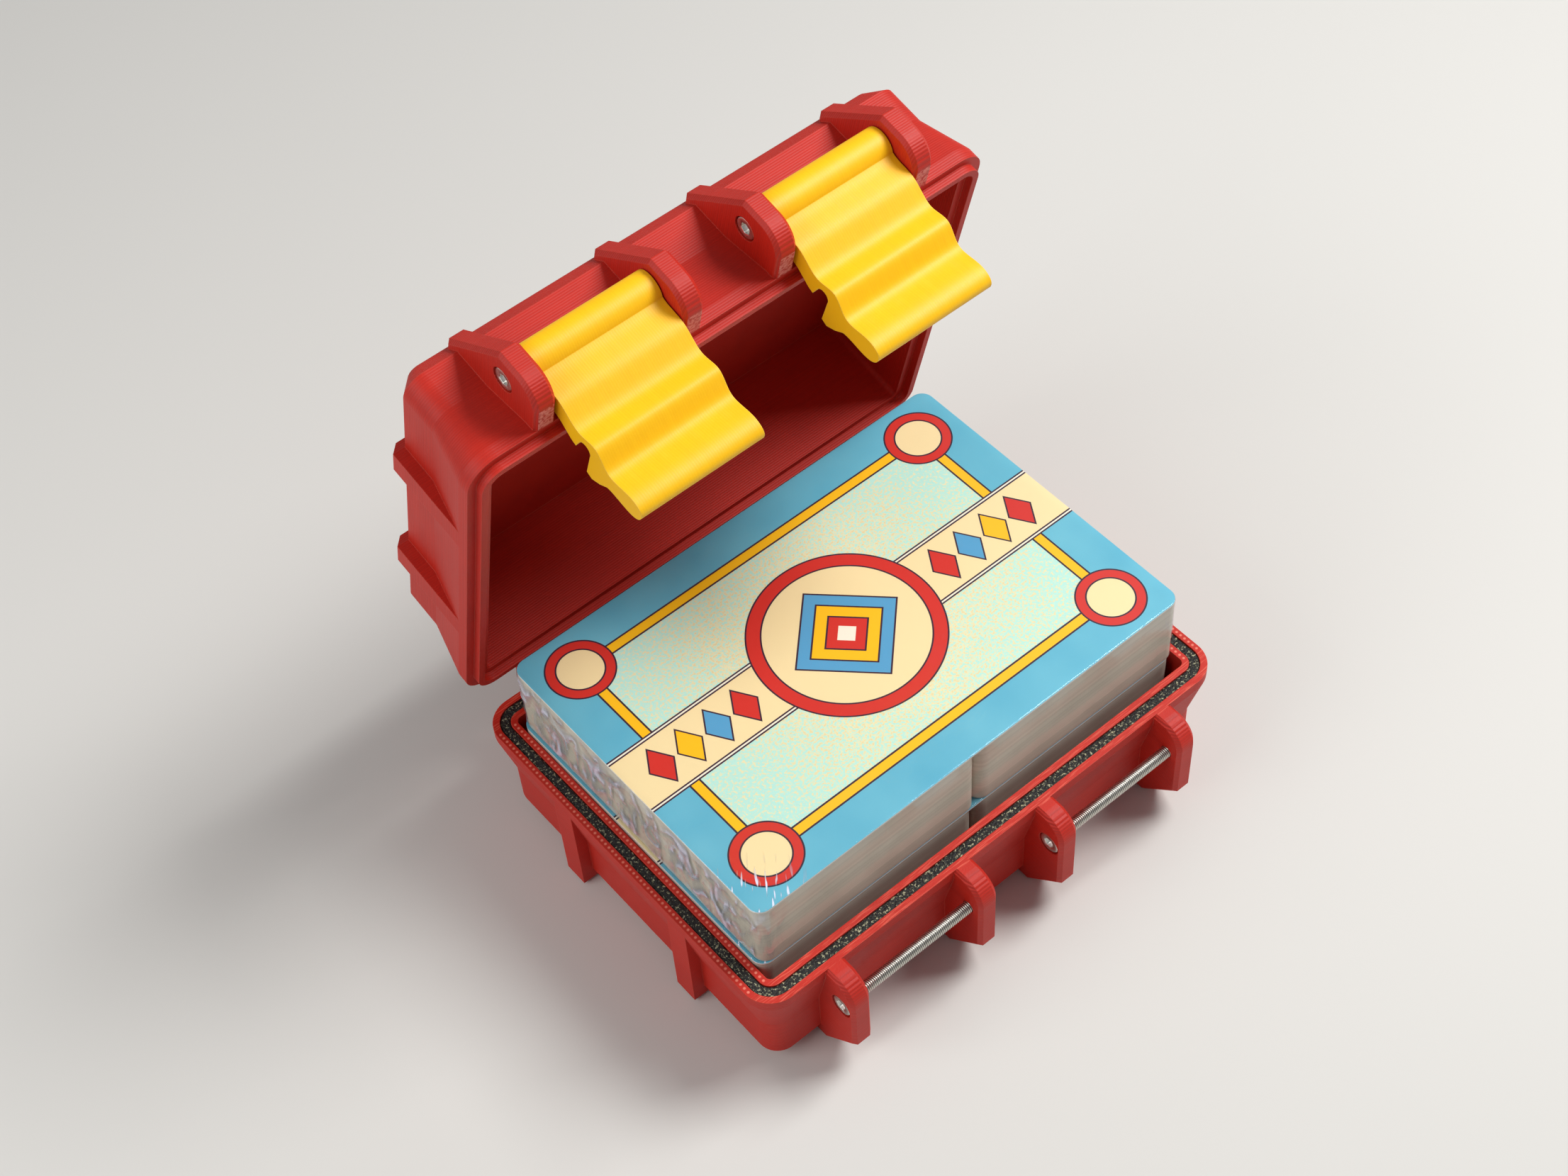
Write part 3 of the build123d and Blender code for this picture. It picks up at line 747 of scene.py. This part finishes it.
def film_rows(low_z, high_z):
    """Scale of the outline, inset and height of each row, from the top to the underside."""
    bends = [math.radians(90 * step / ROUND_STEPS) for step in range(ROUND_STEPS + 1)]
    side = high_z - low_z - 2 * ROUND_OVER
    rows = [(scale, 0, high_z) for scale in TOP_SCALES]
    rows += [(1.0, ROUND_OVER * (1 - math.sin(bend)), high_z - ROUND_OVER * (1 - math.cos(bend)))
             for bend in bends]
    rows += [(1.0, 0, high_z - ROUND_OVER - side * step / SIDE_ROWS) for step in range(1, SIDE_ROWS)]
    rows += [(1.0, ROUND_OVER * (1 - math.cos(bend)), low_z + ROUND_OVER * (1 - math.sin(bend)))
             for bend in bends]
    rows += [(scale, 0, low_z) for scale in UNDERSIDE_SCALES]
    return rows


print("rows of film:", len(film_rows(0.0, 20 * MM)))

# %% [markdown]
# How loose the film is grows towards the left end and near the corners, and fades out at the top and the bottom
# edge. The lower film has hardly any room in the case, so its wrinkles are kept under four hundredths of a
# millimetre. The mesh keeps how creased each point is for the finish.

# %% Wrinkles and the skin
WRINKLE = 0.42 * MM
FOLD = 0.10 * MM
FILM_CORNER = 3.3 * MM
CORNER_REACH = 9 * MM
WRINKLE_SIZE = 5 * MM
GATHER_SIZE = 1.1 * MM
EDGE_FADE = 2 * MM
SQUARENESS = 9


def clamped(value, low, high):
    """A value held between two limits."""
    return max(low, min(high, value))


def slack(x, y, z, left, half, low_z, high_z, wrinkle):
    """How far the film stands off, and how creased it is, at a point of the sides."""
    loose = wrinkle * max(0.0, -left) ** 2
    near_corner = max(0.0, 1 - math.hypot(abs(x) - half.x, abs(y) - half.y) / CORNER_REACH)
    slanted = Vector((x * 0.4, y, z * 0.8 + y * 0.5)) / WRINKLE_SIZE
    crease = (1 - abs(noise.noise(slanted))) ** 3
    gather = abs(noise.noise(Vector((x, y, z * 0.15)) / GATHER_SIZE))
    fade = clamped(min(z - low_z, high_z - z) / EDGE_FADE, 0.0, 1.0)
    stand_off = (loose * crease + near_corner * FOLD * gather) * fade
    return stand_off, (loose / WRINKLE * crease + 0.4 * near_corner * gather) * fade


def film_skin(name, node, wrinkle, room, material):
    """Closed skin round a pack, which stands off no further than the room it has."""
    low, high = (Vector(corner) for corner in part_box(node))
    middle = (low + high) / 2
    half = (high - low) / 2
    rows = film_rows(low.z, high.z)
    outline = rounded_loop(half.x, half.y, FILM_CORNER, 110, 14)
    points = []
    creases = []
    for scale, inset, z in rows:
        for x, y in outline:
            nx = clamped(x / half.x, -1.0, 1.0) ** SQUARENESS
            ny = clamped(y / half.y, -1.0, 1.0) ** SQUARENESS
            length = max(math.hypot(nx, ny), 1e-6)
            nx, ny = nx / length, ny / length
            out, creased = 0.0, 0.0
            if scale == 1.0:
                out, creased = slack(x, y, z, nx, half, low.z, high.z, wrinkle)
                out = min(out, room)
            creases.append(creased)
            points.append((middle.x + (x - nx * inset) * scale + nx * out,
                           middle.y + (y - ny * inset) * scale + ny * out, z))
    count = len(outline)
    faces = end_caps(len(points), count)
    for i in range(len(rows) - 1):
        faces += bridge((i + 1) * count, i * count, count)
    return mesh_object(name, points, faces, material, creased=creases)


print("loosest wrinkle and deepest fold mm:", round(WRINKLE / MM, 2), round(FOLD / MM, 2))

# %% [markdown]
# Film this thin has no visible colour: it mirrors what lies at a grazing angle and is clear seen head-on, which
# is an opacity that follows the Fresnel curve, held to a third so that light still gets through to the cards.
# Where it is creased, several layers lie on each other and scatter a pale light, and a painted sheen, pale and
# cool, is laid on there too, so the finish whitens. Short folds also run in over the top from the front left
# corner, whitened
# as painted glints: a noise drawn out along one direction and squeezed across it gives thin strokes side by side.

# %% Creases and folds
FOLD_ANGLE = math.radians(-54)
FOLD_FADE = (17 * MM, 9 * MM)

film, tree, output = new_material("clear_shrink_film")
place = add(tree, "ShaderNodeTexCoord").outputs["Object"]
stretch = add(tree, "ShaderNodeVectorMath", (place, (1.0, 1.0, 0.35)), operation="MULTIPLY").outputs[0]
ripples = add(tree, "ShaderNodeTexNoise", {
    "Vector": stretch, "Scale": per_metre(4.2), "Detail": 3.0, "Distortion": 1.2}).outputs[0]
creased = add(tree, "ShaderNodeAttribute", attribute_name="creased").outputs["Fac"]
patches = add(tree, "ShaderNodeMapRange", {
    "Value": ripples, "From Min": 0.4, "From Max": 0.6, "To Max": 0.85}).outputs[0]
# Crease whitening: partly the film's own haze, partly a painted sheen.
crease_haze_and_sheen = add(tree, "ShaderNodeMath", (creased, patches), operation="MULTIPLY").outputs[0]

# Folds on the top near the front left corner, whitened as painted glints.
fold_corner = Vector(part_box("upper_film_wrap")[0])
from_corner = add(tree, "ShaderNodeVectorMath", (place, tuple(fold_corner)), operation="SUBTRACT").outputs[0]
flat = add(tree, "ShaderNodeVectorMath", (from_corner, (1, 1, 0)), operation="MULTIPLY").outputs[0]
turned = add(tree, "ShaderNodeVectorRotate", {"Vector": flat, "Angle": FOLD_ANGLE},
             rotation_type="Z_AXIS").outputs[0]
fan = add(tree, "ShaderNodeVectorMath", (turned, (per_metre(7), per_metre(0.9), 1.0)),
          operation="MULTIPLY").outputs[0]
fold_noise = add(tree, "ShaderNodeTexNoise", {"Vector": fan, "Scale": 1.0, "Detail": 1.0}).outputs[0]
fold_line = add(tree, "ShaderNodeMapRange", {
    "Value": fold_noise, "From Min": 0.6, "From Max": 0.66, "To Max": 0.9}).outputs[0]
from_fold = add(tree, "ShaderNodeVectorMath", (flat,), operation="LENGTH").outputs[1]
near = add(tree, "ShaderNodeMapRange", {
    "Value": from_fold, "From Min": FOLD_FADE[0], "From Max": FOLD_FADE[1]}).outputs[0]
normal = add(tree, "ShaderNodeNewGeometry").outputs["Normal"]
facing_up = add(tree, "ShaderNodeSeparateXYZ", (normal,)).outputs["Z"]
on_top = add(tree, "ShaderNodeMath", (facing_up, 0.8), operation="GREATER_THAN").outputs[0]
near_on_top = add(tree, "ShaderNodeMath", (near, on_top), operation="MULTIPLY").outputs[0]
folds = add(tree, "ShaderNodeMath", (fold_line, near_on_top), operation="MULTIPLY").outputs[0]
print("folds start from mm:", [round(v / MM, 1) for v in fold_corner[:2]])

# %% Film surface
FILM_IOR = 1.5

# Painted sheen and glints: where creased or folded, the film turns from a clear mirror into a pale, cool, more
# opaque coat.
haze_and_sheen = add(tree, "ShaderNodeMath", (crease_haze_and_sheen, folds), operation="MAXIMUM").outputs[0]
film_bump = add(tree, "ShaderNodeBump", {"Strength": 0.5, "Distance": 0.12 * MM, "Height": ripples}).outputs[0]
facing = add(tree, "ShaderNodeFresnel", {"IOR": FILM_IOR, "Normal": film_bump}).outputs[0]
glint = add(tree, "ShaderNodeMapRange", {
    "Value": facing, "From Min": 0.04, "From Max": 0.6, "To Min": 0.03, "To Max": 0.34}).outputs[0]
opacity = add(tree, "ShaderNodeMath", (glint, haze_and_sheen), operation="ADD", use_clamp=True).outputs[0]
mirror = add(tree, "ShaderNodeMath", (1.0, haze_and_sheen), operation="SUBTRACT").outputs[0]
# The pale cool base colour tints the mirror, and it is the colour of the painted sheen where the film is hazed.
film_surface = add(tree, "ShaderNodeBsdfPrincipled", {
    "Base Color": to_linear("E6ECFF"), "Metallic": mirror, "Roughness": 0.09, "Normal": film_bump,
    "Alpha": opacity})
tree.links.new(film_surface.outputs[0], output.inputs["Surface"])
print("film nodes:", len(tree.nodes))

# %% The two skins
for pack, wrinkle, room in (("lower", 0.12 * MM, 0.04 * MM), ("upper", WRINKLE, 0.5 * MM)):
    skin = film_skin(f"{pack}_shrink_film", f"{pack}_film_wrap", wrinkle, room, film)
    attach(skin, "tub")
    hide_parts(f"{pack}_film_wrap")
print("film points:", len(skin.data.vertices))

# %% [markdown]
# ## Floor, light and camera
#
# A pale floor and an even, dim sky keep the colours as they are written. The floor is matt paint, so it takes
# soft shadows and mirrors nothing.

# %% Floor and world
FLOOR_HALF = 3.0
SKY_STRENGTH = 0.27

floor_mesh = bpy.data.meshes.new("studio_floor")
floor_corners = [(-FLOOR_HALF, -FLOOR_HALF, 0), (FLOOR_HALF, -FLOOR_HALF, 0),
                 (FLOOR_HALF, FLOOR_HALF, 0), (-FLOOR_HALF, FLOOR_HALF, 0)]
floor_mesh.from_pydata(floor_corners, [], [(0, 1, 2, 3)])
floor = bpy.data.objects.new("studio_floor", floor_mesh)
bpy.context.scene.collection.objects.link(floor)
floor_paint, tree, output = new_material("pale_floor")
floor_surface = add(tree, "ShaderNodeBsdfPrincipled", {"Base Color": to_linear("D2D0CB"), "Roughness": 0.8})
tree.links.new(floor_surface.outputs[0], output.inputs["Surface"])
floor_mesh.materials.append(floor_paint)

world = bpy.data.worlds.new("studio")
bpy.context.scene.world = world
world.use_nodes = True
world.node_tree.nodes["Background"].inputs["Color"].default_value = to_linear("F1F2F5")
world.node_tree.nodes["Background"].inputs["Strength"].default_value = SKY_STRENGTH
print("floor metres wide:", 2 * FLOOR_HALF)

# %% [markdown]
# Two soft square lamps light the case: a strong one high on the right, which gives the shadows their direction,
# and a weaker one lower on the left, which opens them.

# %% Lamps
def lamp(name, place, target, size, power):
    """Square soft lamp that looks at a point."""
    data = bpy.data.lights.new(name, "AREA")
    data.shape = "SQUARE"
    data.size = size
    data.energy = power
    piece = bpy.data.objects.new(name, data)
    piece.location = place
    piece.rotation_euler = (Vector(target) - Vector(place)).to_track_quat("-Z", "Y").to_euler()
    bpy.context.scene.collection.objects.link(piece)


lamp("key", (0.50, -0.17, 0.80), (0, 0, 0.03), 0.4, 8.8)
lamp("fill", (-0.7, 0.1, 0.5), (0, 0, 0.04), 0.6, 3.2)
print("lamps:", ", ".join(sorted(light.name for light in bpy.data.lights)))

# %% [markdown]
# The camera stands where the photographer stood: beyond the front left corner, looking down at about fifty-two
# degrees, with the frame turned a little. Its place is worked out from a point on the rim's level, from which
# the camera steps back, aside and up.

# %% Camera
PHOTO_WIDTH = 2212
FOCAL_PIXELS = 3576.8
SENSOR_WIDTH = 36.0
AZIMUTH = math.radians(36.333)
DOWN = math.radians(51.903)
ROLL = math.radians(-4.797)
DISTANCE = 595.5 * MM
SIDEWAYS = -15.5 * MM
UPWARDS = 24.29 * MM

forward = Vector((math.sin(AZIMUTH) * math.cos(DOWN), math.cos(AZIMUTH) * math.cos(DOWN), -math.sin(DOWN)))
level_right = Vector((math.cos(AZIMUTH), -math.sin(AZIMUTH), 0))
level_up = level_right.cross(forward)
camera_right = level_right * math.cos(ROLL) + level_up * math.sin(ROLL)
camera_up = level_up * math.cos(ROLL) - level_right * math.sin(ROLL)
camera_place = (Vector((0, 0, rim_height)) - forward * DISTANCE + camera_right * SIDEWAYS
                + camera_up * UPWARDS)
camera_data = bpy.data.cameras.new("camera")
camera_data.sensor_width = SENSOR_WIDTH
camera_data.lens = SENSOR_WIDTH * FOCAL_PIXELS / PHOTO_WIDTH
camera_data.clip_start = 0.01
camera = bpy.data.objects.new("camera", camera_data)
bpy.context.scene.collection.objects.link(camera)
turn = Matrix((camera_right, camera_up, -forward)).transposed()
camera.matrix_world = Matrix.Translation(camera_place) @ turn.to_4x4()
bpy.context.scene.camera = camera
bpy.context.scene.view_settings.view_transform = "Standard"
print("camera mm:", [round(v / MM, 1) for v in camera_place], "lens mm:", round(camera_data.lens, 2))
